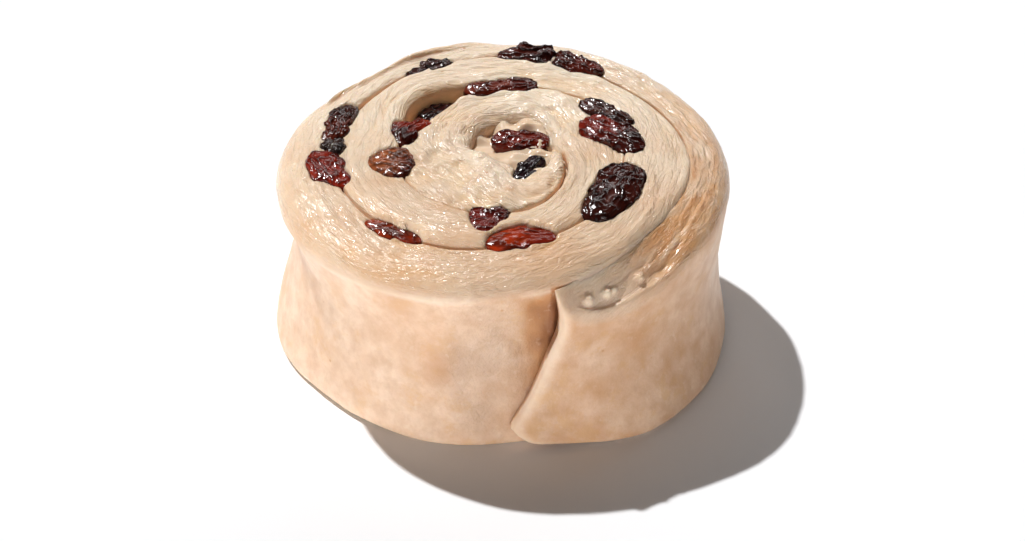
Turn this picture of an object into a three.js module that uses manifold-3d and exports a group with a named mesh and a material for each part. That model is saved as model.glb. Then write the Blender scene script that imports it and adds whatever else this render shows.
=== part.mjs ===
// An unbaked raisin roll: a strip of laminated dough, spread with custard and raisins,
// wound into a spiral and cut across, standing on its cut face.
// Millimetres and degrees, +Z up, the loose end of the dough at the front (-Y).
import * as THREE from "three";
import { mergeVertices } from "three/addons/utils/BufferGeometryUtils.js";
import Module from "manifold-3d";

const wasm = await Module();
wasm.setup();

const { clamp, degToRad, lerp, smoothstep } = THREE.MathUtils;

// Driving sizes of the roll
const CROWN_HEIGHT = 36.5; // top of the middle turns
const CROWN_DROP = 2.5; // how much lower the top is at RIM_RADIUS
const RIM_RADIUS = 38;
const LEAN = 1.3; // how much further forward the foot stands than the top
const ROLL_CENTRE = [-0.1, -1.1]; // middle of the winding, from the middle of the whole roll
const EYE = new THREE.Vector2(3, 1); // middle of the innermost turn, from the winding's middle

// The winding is the angle wound inwards, counterclockwise from the loose end
const TAIL_ANGLE = -77;
const TURN = 360;
const WINDING_END = 1134;
const WINDING_STEP = 9;
const EYE_SHIFT = [690, 780]; // where the turns move over to the eye's middle

// Radius of the roll's side wall at its shoulder over the first turn: [winding, radius]
const WALL = [
  [0, 39.6], [50, 39.9], [77, 39.6], [107, 39], [140, 39.3], [168, 38.2], [197, 36.4], [210, 35.2],
  [226, 36.7], [243, 39], [265, 39.7], [290, 39.8], [310, 38.8], [331, 37.6], [360, 35.8],
];

// How far the wall's foot flares out over the first turn: [winding, distance]
const FLARE = [
  [0, 0.8], [25, 2.3], [60, 0.9], [80, 0.4], [180, 0.6], [265, 0.6], [292, -0.7], [312, -0.5], [360, 0.8],
];

// Radius of the seam between one turn and the next one in: [winding, radius]
const SEAM = [
  [0, 36], [20, 33.8], [40, 32.8], [75, 32.8], [100, 31.2], [125, 29.9], [155, 30.4], [185, 29.8],
  [215, 29], [265, 29], [330, 28.2], [360, 26], [390, 23.8], [420, 21.4], [480, 21.9], [510, 20.6],
  [565, 19.2], [600, 17.6], [630, 18.4], [690, 18.8], [720, 17.7], [750, 12.4], [780, 7.6], [810, 5.8],
  [840, 6.8], [870, 8.9], [900, 9.4], [960, 8.6], [980, 7.4], [1000, 5.2], [1020, 4.7], [1050, 5.4],
  [1080, 7.4], [1107, 7], [1134, 6],
];

// Half the width of the slit along the seam: dough on dough, then with custard, open at the back left
const DOUGH_SLIT = 0.2;
const FILLED_SLIT = 0.65;
const OPEN_SLIT = 2.7;
const SLIT = [
  [110, DOUGH_SLIT], [140, FILLED_SLIT], [532, FILLED_SLIT], [560, OPEN_SLIT], [576, OPEN_SLIT],
  [604, FILLED_SLIT], [776, FILLED_SLIT], [800, 0],
];
const CLEARANCE = 0.3; // between neighbouring pieces

// Height of the top at the outer and inner edge of the dough, above the crown: [winding, height]
const OUTER_RISE = [
  [0, -3], [5, -5], [13, -6.6], [20, -5.7], [33, -4.2], [40, -2.2], [50, -0.6], [62, 0], [100, 0.4],
  [150, 0.3], [190, 0], [635, 0], [670, 0.8], [715, 0.8], [750, 0],
];
const INNER_RISE = [
  [0, -2], [60, -2], [100, -0.6], [125, 0], [150, 1.2], [200, 0.9], [240, 0.2], [265, 0], [300, -0.3],
  [350, -0.3], [375, 0],
];
const OUTER_ROUND = [
  [0, 1.8], [60, 3.2], [110, 3.6], [170, 2.6], [195, 1.4], [225, 1.4], [250, 3.4], [340, 3.4],
  [370, 2.2], [425, 2], [450, 1.2], [500, 0.7], [580, 0.7], [640, 1.3], [665, 2.2], [720, 2.2], [760, 1.3],
];
const INNER_ROUND = 1.2;
const BASE_ROUND = 1.1;
const MOST_ROUND = { outer: 0.5, inner: 0.4, base: 0.3 }; // as shares of the dough's thickness
const ROUND_STEPS = { outer: 3, inner: 2 };

// The loose end: how far it is slanted, in degrees, by height, and how it thins to a lip
const TAIL_SLANT = [[2, -4], [6, -10], [12, -7.2], [16, -5], [22, -2.4], [28, 0]];
const TAIL_SLANT_FADES_BY = 40;
const TAIL_LIP = [[0, -2], [0.8, -1.1], [2.5, -0.35], [5, 0]];
const TAIL_LIP_WINDINGS = [0, 0.8, 1.8, 3.4];
const TAIL_NOSE_LIFT = 1.4;
const TAIL_NOSE_LENGTH = 26;

// The side wall is drawn in between its foot and its shoulder
const WAIST_DEPTH = 2.3;
const WAIST_UNEVENNESS = 0.5; // deeper on the left by this, and shallower on the right
const WAIST_HEIGHT = 17;
const SHOULDER_HEIGHT = 31;
const WALL_LEVELS = [6, 12, 19, 25];
const WAIST_REACH = 4; // power of the radius by which the waist and the flare fade inwards

// The custard: a thin layer in the seam and a plug in the eye
const CUSTARD_START = 144;
const CUSTARD_END = 801;
const CUSTARD_INWARDS = [[776, 0], [801, 2.8]]; // how far it turns in behind the dough's inner end
const CUSTARD_RECESS = [[530, 1.5], [555, 4.6], [580, 4.8], [606, 1.5]];
const PLUG_WINDINGS = [795, 1131];
const PLUG_STEP = 12;
const PLUG_RECESS = 2.2;
const PLUG_HOLLOW = 1.4; // how much deeper the plug lies on its left
const EYE_RADIUS = 8;
const PLUG_MIDDLE = 0.4; // share of the radius at which its flat ends are parted

// Raisins that show on top: place from the winding's middle, rise of the widest girth above the
// dough's surface, length, width, dome above the girth, depth below it, yaw and roll
const RAISIN_FIELDS = ["x", "y", "rise", "length", "width", "dome", "depth", "yaw", "roll"];
const TOP_RAISINS = [
  [4.1, 31.0, 0.3, 9.5, 5.6, 2.0, 3.4, -6, 10],
  [13.5, 28.1, 0.3, 9.7, 5.8, 2.2, 3.4, -30, -10],
  [-13.2, 26.6, -0.2, 9.5, 3.8, 2.0, 3.4, 33, 10],
  [-28.7, 10.1, 0.0, 11.2, 5.2, 1.6, 4.0, 78, 0],
  [-28.3, 2.2, -0.4, 4.4, 4.4, 1.3, 3.5, 80, 0],
  [-30.0, -4.6, 0.0, 12.4, 6.2, 1.6, 4.0, -59, 0],
  [-18.0, -22.6, -0.4, 12.4, 4.4, 0.6, 4.0, -35, 0],
  [2.8, -25.4, -0.3, 12.8, 6.2, 1.2, 4.5, 5, 0],
  [-1.8, -19.4, -0.2, 8.4, 6.2, 0.8, 4.0, 22, 0],
  [19.4, -12.2, 0.0, 18.4, 8.2, 2.6, 5.0, 59, 0],
  [17.7, 12.4, 0.2, 11.0, 4.2, 1.6, 4.0, -39, 0],
  [19.4, 5.2, 0.2, 13.6, 5.6, 2.2, 4.0, -35, 0],
  [0.8, 20.4, -0.2, 11.6, 4.8, 2.0, 3.6, 14, 0],
  [-11.4, 16.4, -4.0, 9.8, 4.2, 2.2, 2.6, 38, 0],
  [-15.9, 5.8, -0.4, 9.4, 5.8, 1.6, 4.0, 56, 0],
  [-19.4, -4.4, -0.2, 9.4, 6.2, 1.4, 4.0, -22, 0],
  [3.4, 3.9, -0.5, 9.8, 6.0, 2.2, 3.0, -6, 0],
  [5.2, -4.8, -1.2, 8.8, 4.6, 1.6, 3.4, 56, 0],
];

// Raisins that show in the seam of the cut face underneath, by winding
const BASE_RAISIN_WINDINGS = [196, 268, 452, 585, 672];
const BASE_RAISIN = { length: 10.5, width: 4.8, dome: 3.4, depth: 1.4, roll: 0 };
const BASE_RAISIN_LIFT = 0.15;

// How finely raisins and their pockets are faceted: sides round the girth, rings along the length
const TOP_FACETS = { sides: 9, rings: 6, wrinkle: 0.05 };
const BASE_FACETS = { sides: 8, rings: 5, wrinkle: 0.05 };
const POCKET_FACETS = { sides: 8, rings: 5, wrinkle: 0 };
const POCKET_LONGER = 0.55; // at each end
const POCKET_OPENING = 0.8; // above the dome
const POCKET_FATTER = 1.16; // so that its coarser facets stay outside the raisin's
const RAISIN_BLUNTNESS = 0.9; // below 1 the ends are blunter than an ellipse's
const RAISIN_FOLDS = 5;

// Value at x on a smooth curve through [x, value] knots, level beyond both ends
function through(knots, x) {
  const last = knots.length - 1;
  if (x <= knots[0][0]) return knots[0][1];
  if (x >= knots[last][0]) return knots[last][1];
  const i = knots.findIndex((knot) => knot[0] > x) - 1;
  const span = knots[i + 1][0] - knots[i][0];
  const t = (x - knots[i][0]) / span;
  const slope = (k) => {
    if (k === 0 || k === last) return 0;
    return (knots[k + 1][1] - knots[k - 1][1]) / (knots[k + 1][0] - knots[k - 1][0]);
  };
  const rise = (2 * t ** 3 - 3 * t ** 2 + 1) * knots[i][1] + (3 * t ** 2 - 2 * t ** 3) * knots[i + 1][1];
  const lean = (t ** 3 - 2 * t ** 2 + t) * slope(i) + (t ** 3 - t ** 2) * slope(i + 1);
  return rise + lean * span;
}

// Point in plan on the face that bounds the turns: the wall before the loose end, the seam after it
function facePoint(winding, outwards) {
  const radius = winding < 0 ? through(WALL, winding + TURN) : through(SEAM, winding);
  const angle = degToRad(TAIL_ANGLE + winding);
  const middle = EYE.clone().multiplyScalar(smoothstep(winding, EYE_SHIFT[0], EYE_SHIFT[1]));
  return middle.add(new THREE.Vector2(Math.cos(angle), Math.sin(angle)).multiplyScalar(radius + outwards));
}

function innerFace(winding) {
  return facePoint(winding, winding < 0 ? 2 * DOUGH_SLIT : through(SLIT, winding));
}

function outerFace(winding) {
  const previous = winding - TURN;
  return facePoint(previous, previous < 0 ? through(TAIL_LIP, winding) : -through(SLIT, previous));
}

function crown(point) {
  return CROWN_HEIGHT - CROWN_DROP * (point.length() / RIM_RADIUS) ** 4;
}

// Place of a plan point at a height: the wall's foot flares, its waist is drawn in, and the roll leans
function settled(plan, height) {
  const distance = plan.length();
  const winding = THREE.MathUtils.euclideanModulo(THREE.MathUtils.radToDeg(plan.angle()) - TAIL_ANGLE, TURN);
  const rising = smoothstep(height, 0, WAIST_HEIGHT);
  const falling = 1 - smoothstep(height, WAIST_HEIGHT, SHOULDER_HEIGHT);
  const waist = (WAIST_DEPTH - WAIST_UNEVENNESS * plan.x / Math.max(distance, 1)) * Math.min(rising, falling);
  const outwards = through(FLARE, winding) * (1 - rising) - waist;
  const scale = 1 + outwards / RIM_RADIUS * (distance / RIM_RADIUS) ** WAIST_REACH;
  const forward = LEAN * (1 - height / CROWN_HEIGHT);
  return new THREE.Vector3(plan.x * scale, plan.y * scale - forward, height);
}

// A quarter of an ellipse from straight up to level, as [across, up] shares of its two radii
function quarterRound(steps) {
  return Array.from({ length: steps + 1 }, (_, i) => {
    const angle = (i / steps) * Math.PI / 2;
    return [1 - Math.cos(angle), 1 - Math.sin(angle)];
  });
}

// Outline of the dough strip where it is cut at one winding, counterclockwise: base, outer side,
// top, inner side. A point's share is 0 on the inner face and 1 on the outer face.
function doughSection(winding) {
  const inner = innerFace(winding);
  const outer = outerFace(winding);
  const thickness = inner.distanceTo(outer);
  const innerTop = crown(inner) + through(INNER_RISE, winding);
  const outerTop = crown(outer) + through(OUTER_RISE, winding);
  const base = TAIL_NOSE_LIFT * clamp(1 - winding / TAIL_NOSE_LENGTH, 0, 1) ** 2;
  const outerRound = Math.min(through(OUTER_ROUND, winding), thickness * MOST_ROUND.outer);
  const innerRound = Math.min(INNER_ROUND, thickness * MOST_ROUND.inner);
  const baseRound = Math.min(BASE_ROUND, thickness * MOST_ROUND.base);
  const outline = [
    [baseRound, base],
    [thickness - baseRound, base],
    [thickness, base + baseRound],
  ];
  WALL_LEVELS.forEach((height) => outline.push([thickness, height]));
  quarterRound(ROUND_STEPS.outer).forEach(([across, up]) => {
    outline.push([thickness - across * outerRound, outerTop - up * outerRound]);
  });
  const middle = (innerRound + thickness - outerRound) / 2;
  outline.push([middle, lerp(innerTop, outerTop, middle / thickness)]);
  quarterRound(ROUND_STEPS.inner).reverse().forEach(([across, up]) => {
    outline.push([across * innerRound, innerTop - up * innerRound]);
  });
  outline.push([0, WAIST_HEIGHT], [0, base + baseRound]);
  const fade = clamp(1 - winding / TAIL_SLANT_FADES_BY, 0, 1) ** 2;
  return outline.map(([across, height]) => {
    const slanted = winding + through(TAIL_SLANT, height) * fade;
    const from = innerFace(slanted);
    const to = slanted < TURN && winding < TAIL_SLANT_FADES_BY
      ? facePoint(slanted - TURN, through(TAIL_LIP, winding))
      : outer;
    return settled(from.lerp(to, across / thickness), height);
  });
}

// Closed mesh through a row of outlines with equal numbers of points, its two ends fanned shut
function loft(outlines) {
  const sides = outlines[0].length;
  const points = outlines.flat();
  const faces = [];
  for (let row = 0; row < outlines.length - 1; row += 1) {
    for (let side = 0; side < sides; side += 1) {
      const a = row * sides + side;
      const b = row * sides + (side + 1) % sides;
      faces.push([a, b, b + sides], [a, b + sides, a + sides]);
    }
  }
  [0, outlines.length - 1].forEach((row) => {
    const middle = new THREE.Vector3();
    outlines[row].forEach((point) => middle.addScaledVector(point, 1 / sides));
    points.push(middle);
    const hub = points.length - 1;
    for (let side = 0; side < sides; side += 1) {
      const a = row * sides + side;
      const b = row * sides + (side + 1) % sides;
      faces.push(row === 0 ? [hub, b, a] : [hub, a, b]);
    }
  });
  return solidFrom(points, faces);
}

function solidFrom(points, faces) {
  const triVerts = new Uint32Array(faces.flat());
  const vertProperties = new Float32Array(points.flatMap((point) => point.toArray()));
  const solid = new wasm.Manifold(new wasm.Mesh({ numProp: 3, vertProperties, triVerts }));
  if (solid.volume() > 0) return solid;
  const flipped = new Uint32Array(faces.flatMap(([a, b, c]) => [a, c, b]));
  return new wasm.Manifold(new wasm.Mesh({ numProp: 3, vertProperties, triVerts: flipped }));
}

// The largest of the bodies that cutting leaves
function largestBody(solid) {
  return solid.decompose().reduce((best, body) => (body.volume() > best.volume() ? body : best));
}

function windings(start, end, step) {
  const count = Math.round((end - start) / step);
  return Array.from({ length: count + 1 }, (_, i) => start + i * step);
}

function doughStrip() {
  const turns = windings(WINDING_STEP, WINDING_END, WINDING_STEP);
  return loft([...TAIL_LIP_WINDINGS, ...turns].map(doughSection));
}

// Thin layer of custard that stands in the seam
function custardLayer() {
  const outlines = windings(CUSTARD_START, CUSTARD_END, WINDING_STEP).map((winding) => {
    const half = through(SLIT, winding) - CLEARANCE;
    const near = facePoint(winding, -half - through(CUSTARD_INWARDS, winding));
    const far = facePoint(winding, half);
    const top = crown(near) - through(CUSTARD_RECESS, winding);
    const heights = [CLEARANCE, WAIST_HEIGHT, top];
    return [...heights.map((z) => settled(far, z)), ...heights.reverse().map((z) => settled(near, z))];
  });
  return loft(outlines);
}

// Plug of custard in the eye, its top a little hollow on the left
function custardPlug() {
  const edge = windings(...PLUG_WINDINGS, PLUG_STEP)
    .map((winding) => facePoint(winding, through(SLIT, winding) - CLEARANCE));
  const ring = (share, heightAt) => edge.map((point) => {
    const plan = EYE.clone().lerp(point, share);
    return settled(plan, heightAt(plan));
  });
  const top = (plan) => {
    const left = clamp((EYE.x - plan.x) / EYE_RADIUS, 0, 1);
    return CROWN_HEIGHT - PLUG_RECESS - PLUG_HOLLOW * left;
  };
  const base = () => 0;
  return loft([ring(PLUG_MIDDLE, base), ring(1, base), ring(1, top), ring(PLUG_MIDDLE, top)]);
}

// A raisin: a lens with pointed ends and shallow lengthwise wrinkles, placed in the roll
function raisin(size, seed, { sides, rings, wrinkle }) {
  const half = [size.length / 2, size.width / 2];
  const turn = new THREE.Euler(degToRad(size.roll), 0, degToRad(size.yaw), "ZYX");
  const place = new THREE.Vector3(size.x, size.y, size.z);
  const points = [new THREE.Vector3(-half[0], 0, 0)];
  for (let ring = 1; ring < rings; ring += 1) {
    const along = (ring / rings) * Math.PI;
    for (let side = 0; side < sides; side += 1) {
      const around = (side / sides) * 2 * Math.PI;
      const fold = 1 + wrinkle * Math.sin(RAISIN_FOLDS * around + seed) * Math.cos(2 * along + seed);
      const girth = Math.sin(along) ** RAISIN_BLUNTNESS * fold;
      const [x, y, z] = [-Math.cos(along), girth * Math.cos(around), girth * Math.sin(around)];
      const up = z > 0 ? size.dome : size.depth;
      points.push(new THREE.Vector3(half[0] * x, half[1] * y, up * z));
    }
  }
  points.push(new THREE.Vector3(half[0], 0, 0));
  points.forEach((point) => point.applyEuler(turn).add(place));
  const faces = [];
  const tip = points.length - 1;
  for (let side = 0; side < sides; side += 1) {
    const next = (side + 1) % sides;
    faces.push([0, 1 + side, 1 + next]);
    for (let ring = 0; ring < rings - 2; ring += 1) {
      const a = 1 + ring * sides + side;
      const b = 1 + ring * sides + next;
      faces.push([a, a + sides, b + sides], [a, b + sides, b]);
    }
    const lastRing = tip - sides;
    faces.push([tip, lastRing + next, lastRing + side]);
  }
  return solidFrom(points, faces);
}

// Size of the hollow that the dough and custard leave round a raisin, open above it
function pocketSize(size) {
  const fatter = (side, clearance) => side * POCKET_FATTER + clearance;
  return {
    ...size,
    length: size.length + 2 * POCKET_LONGER,
    width: fatter(size.width, 2 * CLEARANCE),
    dome: Math.max(fatter(size.dome, CLEARANCE), size.dome + POCKET_OPENING),
    depth: fatter(size.depth, CLEARANCE),
  };
}

function topRaisins() {
  return TOP_RAISINS.map((row) => {
    const size = Object.fromEntries(RAISIN_FIELDS.map((field, i) => [field, row[i]]));
    return { ...size, z: crown(new THREE.Vector2(size.x, size.y)) + size.rise };
  });
}

function baseRaisins() {
  return BASE_RAISIN_WINDINGS.map((winding) => {
    const { x, y, z } = settled(facePoint(winding, 0), BASE_RAISIN.depth + BASE_RAISIN_LIFT);
    return { ...BASE_RAISIN, x, y, z, yaw: TAIL_ANGLE + winding + 90 };
  });
}

function meshOf(name, solid, material) {
  const { vertProperties, triVerts } = solid.getMesh();
  const geometry = new THREE.BufferGeometry();
  geometry.setAttribute("position", new THREE.BufferAttribute(new Float32Array(vertProperties), 3));
  geometry.setIndex(new THREE.BufferAttribute(new Uint32Array(triVerts), 1));
  const mesh = new THREE.Mesh(mergeVertices(geometry, 1e-4), material);
  mesh.geometry.computeVertexNormals();
  mesh.name = name;
  return mesh;
}

const doughMaterial = new THREE.MeshStandardMaterial({ color: "#e6cfb2", roughness: 0.5, metalness: 0 });
const custardMaterial = new THREE.MeshStandardMaterial({ color: "#efe0b4", roughness: 0.3, metalness: 0 });
const raisinMaterial = new THREE.MeshStandardMaterial({ color: "#3a1416", roughness: 0.35, metalness: 0 });

const roll = new THREE.Group();
roll.position.set(-ROLL_CENTRE[0], -ROLL_CENTRE[1], 0);

const raisins = [
  ...topRaisins().map((size, i) => (
    { name: `raisin_${String(i + 1).padStart(2, "0")}`, size, facets: TOP_FACETS }
  )),
  ...baseRaisins().map((size, i) => ({ name: `base_raisin_${i + 1}`, size, facets: BASE_FACETS })),
];
const pockets = raisins.map(({ size }, i) => raisin(pocketSize(size), i, POCKET_FACETS));
const carved = (solid) => largestBody(pockets.reduce((rest, pocket) => rest.subtract(pocket), solid));

roll.add(meshOf("dough", carved(doughStrip()), doughMaterial));
roll.add(meshOf("custard", carved(custardLayer().add(custardPlug())), custardMaterial));
raisins.forEach(({ name, size, facets }, i) => {
  roll.add(meshOf(name, raisin(size, i, facets), raisinMaterial));
});

export default roll;
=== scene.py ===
import math

import bpy
import numpy as np
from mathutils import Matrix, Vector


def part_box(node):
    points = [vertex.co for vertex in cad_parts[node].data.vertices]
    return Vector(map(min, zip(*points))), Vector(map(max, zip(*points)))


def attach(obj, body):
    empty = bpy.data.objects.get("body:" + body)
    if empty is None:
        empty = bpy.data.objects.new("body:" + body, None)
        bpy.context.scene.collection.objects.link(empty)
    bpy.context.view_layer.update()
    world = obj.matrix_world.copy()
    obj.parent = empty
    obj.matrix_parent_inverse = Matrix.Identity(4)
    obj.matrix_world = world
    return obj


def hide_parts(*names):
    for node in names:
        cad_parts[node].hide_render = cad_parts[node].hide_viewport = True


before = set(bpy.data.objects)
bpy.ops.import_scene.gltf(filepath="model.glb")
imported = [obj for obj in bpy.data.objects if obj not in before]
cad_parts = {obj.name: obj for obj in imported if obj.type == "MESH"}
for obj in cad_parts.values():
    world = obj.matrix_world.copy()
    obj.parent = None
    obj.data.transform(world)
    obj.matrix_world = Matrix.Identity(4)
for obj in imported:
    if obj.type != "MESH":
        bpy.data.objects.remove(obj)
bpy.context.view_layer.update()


# The photograph is taken from the front, at the loose end of the dough, looking down with a long
# lens from 600 mm away. LENS_PIXELS is the lens's length in pixels of the frame, 1025 wide.
MM = 0.001
VIEW_ELEVATION = math.radians(37)
VIEW_DISTANCE = 600 * MM
VIEW_TARGET = np.array([1.95, -2.9, 13.2]) * MM
LENS_PIXELS = 3402
FRAME_WIDTH = 1025
SENSOR_WIDTH = 36

lens = bpy.data.cameras.new("photo_camera")
lens.sensor_width = SENSOR_WIDTH
lens.lens = LENS_PIXELS / FRAME_WIDTH * SENSOR_WIDTH
lens.clip_start = 10 * MM
camera = bpy.data.objects.new("photo_camera", lens)
bpy.context.scene.collection.objects.link(camera)
towards_camera = np.array([0, -math.cos(VIEW_ELEVATION), math.sin(VIEW_ELEVATION)])
camera.location = VIEW_TARGET + VIEW_DISTANCE * towards_camera
camera.rotation_euler = (math.pi / 2 - VIEW_ELEVATION, 0, 0)
bpy.context.scene.camera = camera


# The dough is one strip of laminated dough about 450 mm long, wound inwards from its loose end and
# stood on its cut edge. Layers of butter and dough run along the strip, so the cut faces above and
# below are finely ridged along the spiral, and the outer wall is the dough's smooth rolled skin.

# The winding is measured in degrees along the spiral, from 0 at the loose end to the eye. Lengths
# are in millimetres, and places in plan are complex numbers, x + yj.
TURN = 360
WINDING_END = 1134
TAIL_ANGLE = -77  # direction of the loose end from the middle, anticlockwise from +X
MIDDLE = 0.1 + 1.1j
EYE = 3 + 1j  # middle of the innermost turn, from MIDDLE
EYE_SHIFT = (690, 780)  # the windings between which the middle moves over to the eye
CROWN_HEIGHT = 36.5
CROWN_DROP = 2.5  # how much lower the top is at RIM_RADIUS
RIM_RADIUS = 38
LEAN = 1.3  # how far the top stands behind the foot

# Radius by winding: of the outer wall, and of the seam between a turn and the next one inside it
WALL = [
    (0, 39.6), (50, 39.9), (77, 39.6), (107, 39), (140, 39.3), (168, 38.2), (197, 36.4), (210, 35.2),
    (226, 36.7), (243, 39), (265, 39.7), (290, 39.8), (310, 38.8), (331, 37.6), (360, 35.8),
]
SEAM = [
    (0, 36), (20, 33.8), (40, 32.8), (75, 32.8), (100, 31.2), (125, 29.9), (155, 30.4), (185, 29.8),
    (215, 29), (265, 29), (330, 28.2), (360, 26), (390, 23.8), (420, 21.4), (480, 21.9), (510, 20.6),
    (565, 19.2), (600, 17.6), (630, 18.4), (690, 18.8), (720, 17.7), (750, 12.4), (780, 7.6),
    (810, 5.8), (840, 6.8), (870, 8.9), (900, 9.4), (960, 8.6), (980, 7.4), (1000, 5.2), (1020, 4.7),
    (1050, 5.4), (1080, 7.4), (1107, 7), (1134, 6),
]
# Half the width of the seam's gap, and how far the loose end is pressed into the turn inside it
SLIT = [(100, 0.1), (140, 0.3), (532, 0.3), (560, 2.6), (576, 2.6), (604, 0.3), (776, 0.4), (800, 0)]
TAIL_TUCK = [(0, 0), (8, 0.6), (60, 0.6), (100, 0)]

# Height above the crown of the top's two edges, the size of their rounding, and the bulge between
OUTER_RISE = [
    (0, -4.4), (5, -6), (13, -7.2), (20, -6.6), (33, -4.4), (40, -2.4), (50, -0.8), (62, -0.2),
    (100, 0.3), (150, 0.3), (190, 0), (495, 0), (520, 0.5), (560, 0.5), (590, 0), (635, 0),
    (670, 0.8), (715, 0.8), (750, 0),
]
INNER_RISE = [
    (0, -1.7), (10, -1.5), (20, -1.3), (50, -0.9), (80, -0.2), (125, 0), (150, 0.3), (200, 0.2),
    (240, 0), (265, 0), (300, -0.3), (350, -0.3), (375, 0), (780, 0), (830, -0.5), (980, -0.4),
    (1060, 0), (1134, 0),
]
OUTER_ROUND = [
    (0, 1.6), (60, 3.4), (110, 4.2), (170, 3.2), (195, 1.8), (225, 2), (250, 4), (340, 4), (362, 3),
    (400, 2), (440, 0.9), (470, 0.8), (500, 0.7), (580, 0.7), (640, 1.3), (665, 2.6), (720, 2.2),
    (760, 0.8),
]
INNER_ROUND = [
    (0, 0.4), (110, 0.5), (140, 1), (300, 0.8), (535, 0.8), (555, 2), (590, 2), (620, 0.8),
    (774, 0.8), (810, 2.4), (960, 2.8), (1040, 1.6), (1134, 0.8),
]
BASE_ROUND = 1.4
TOP_BULGE = [(0, 0.1), (12, -0.8), (30, -0.5), (50, 0.2), (1134, 0.25)]

# The loose end: its slant along the strip, in degrees by height, its lip, by winding, how far its
# slanting edge stands off the wall, and its foot, which is lifted like a nose
TAIL_SLANT = [
    (0, 1.5), (1, -2.8), (2.5, -7.4), (4.8, -10.7), (6.5, -9.6), (9, -7.2), (12, -4.8), (18.5, -0.8),
    (25.6, 2.6), (33, 1.2),
]
TAIL_SLANT_FADES_BY = 40
TAIL_LIP = [(0, -1.9), (0.3, -1.2), (1, -0.6), (2.2, -0.2), (4, 0)]
TAIL_STANDS_OFF = 0.3
TAIL_NOSE_LIFT = 1.4
TAIL_NOSE_LENGTH = 26

# The outer wall: how far the foot flares out, by winding, and the waist above it, which is deeper
# and higher up on the left and ends at the shoulder. Both fade out inwards by WAIST_REACH's power.
FLARE = [
    (0, -1.8), (6, -1.3), (15, 0), (26, 0.9), (45, 0.6), (60, 0.3), (80, 0.2), (180, 0.6), (265, 0.4),
    (292, -1.5), (312, -1.3), (335, -1), (350, -1.5), (360, -1.8),
]
WAIST_DEPTH = 2.1
WAIST_UNEVENNESS = 0.7
WAIST_HEIGHT = 19
WAIST_HIGHER_LEFT = 3
SHOULDER_HEIGHT = 33.5
WAIST_REACH = 4

# Pellets of dough on the loose end, and the lumps that the eye is pressed into: place, radius and
# height
PELLETS = (
    ((14.8, -33.2, 29.9), 1.3, 1), ((17.7, -30.8, 29.6), 1, 0.9), ((19, -30.2, 29.7), 0.8, 0.6),
    ((23.3, -27.3, 30.2), 0.9, 0.8),
)
LUMPS = (
    ((-4.6, 1.2, 36), 2.4, 0.5), ((-3.5, -1, 36.4), 2.2, 0.45), ((-2, -3, 36.6), 2, 0.4),
    ((-0.3, -6.6, 36.5), 2.2, 0.4), ((-5.6, 4.4, 36.2), 2.6, 0.6), ((4.4, 8.2, 36.2), 2.6, 0.6),
    ((8, 7, 36.2), 2.2, 0.5),
)


def through(knots, x):
    """Value at x on a smooth curve through (x, value) knots: between two knots a cubic that has at
    each the slope from its neighbour before to its neighbour after, and level beyond both ends."""
    at, value = np.array(knots, float).T
    slope = np.zeros(len(at))
    slope[1:-1] = (value[2:] - value[:-2]) / (at[2:] - at[:-2])
    x = np.clip(x, at[0], at[-1])
    i = np.clip(np.searchsorted(at, x, side="right") - 1, 0, len(at) - 2)
    span = at[i + 1] - at[i]
    t = (x - at[i]) / span
    rise = (2 * t**3 - 3 * t**2 + 1) * value[i] + (3 * t**2 - 2 * t**3) * value[i + 1]
    return rise + ((t**3 - 2 * t**2 + t) * slope[i] + (t**3 - t**2) * slope[i + 1]) * span


def ease(x, start, end):
    """Goes from 0 at start to 1 at end as 3t^2 - 2t^3."""
    t = np.clip((x - start) / (end - start), 0, 1)
    return t * t * (3 - 2 * t)


def within(x, start, full, full_until, end):
    """Eases from 0 at start to 1 at full, and from 1 at full_until back to 0 at end."""
    return ease(x, start, full) * ease(x, end, full_until)


def bell(distance, width):
    """Bell curve, 1 in the middle: e to the power of minus the square of distance over width."""
    return np.exp(-((distance / width) ** 2))


def face_point(winding, outwards):
    """Plan point of the face between turns: the outer wall's radius before the loose end and the
    seam's after it, at the winding's angle, about a middle that moves over to the eye."""
    radius = np.where(winding < 0, through(WALL, winding + TURN), through(SEAM, winding)) + outwards
    return EYE * ease(winding, *EYE_SHIFT) + radius * np.exp(1j * np.radians(TAIL_ANGLE + winding))


def crown(plan):
    """Height of the roll's top, falling by the fourth power of the radius."""
    return CROWN_HEIGHT - CROWN_DROP * (np.abs(plan) / RIM_RADIUS) ** 4


def settle(plan, height):
    """Place of a plan point at a height: the foot flares out, the waist is drawn in, both fading
    inwards with the radius, and the whole roll leans back a little with height."""
    distance = np.abs(plan)
    winding = np.mod(np.degrees(np.angle(plan)) - TAIL_ANGLE, TURN)
    eastwards = plan.real / np.maximum(distance, 1)
    waist_height = WAIST_HEIGHT - WAIST_HIGHER_LEFT * eastwards
    rising = ease(height, 0, waist_height)
    falling = 1 - ease(height, waist_height, SHOULDER_HEIGHT)
    waist = (WAIST_DEPTH - WAIST_UNEVENNESS * eastwards) * np.minimum(rising, falling)
    outwards = through(FLARE, winding) * (1 - rising) - waist
    place = plan * (1 + outwards / RIM_RADIUS * (distance / RIM_RADIUS) ** WAIST_REACH)
    place = place + MIDDLE - 1j * LEAN * (1 - height / CROWN_HEIGHT)
    return np.stack([place.real, place.imag, height + 0 * place.real], axis=-1)


# Unrelated numbers that scatter the corners of a grid into fractions with no pattern
CORNER_SCATTER = (127.1, 311.7, 74.7)
SEED_SCATTER = 17.3
SCATTER = 43758.5453


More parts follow.
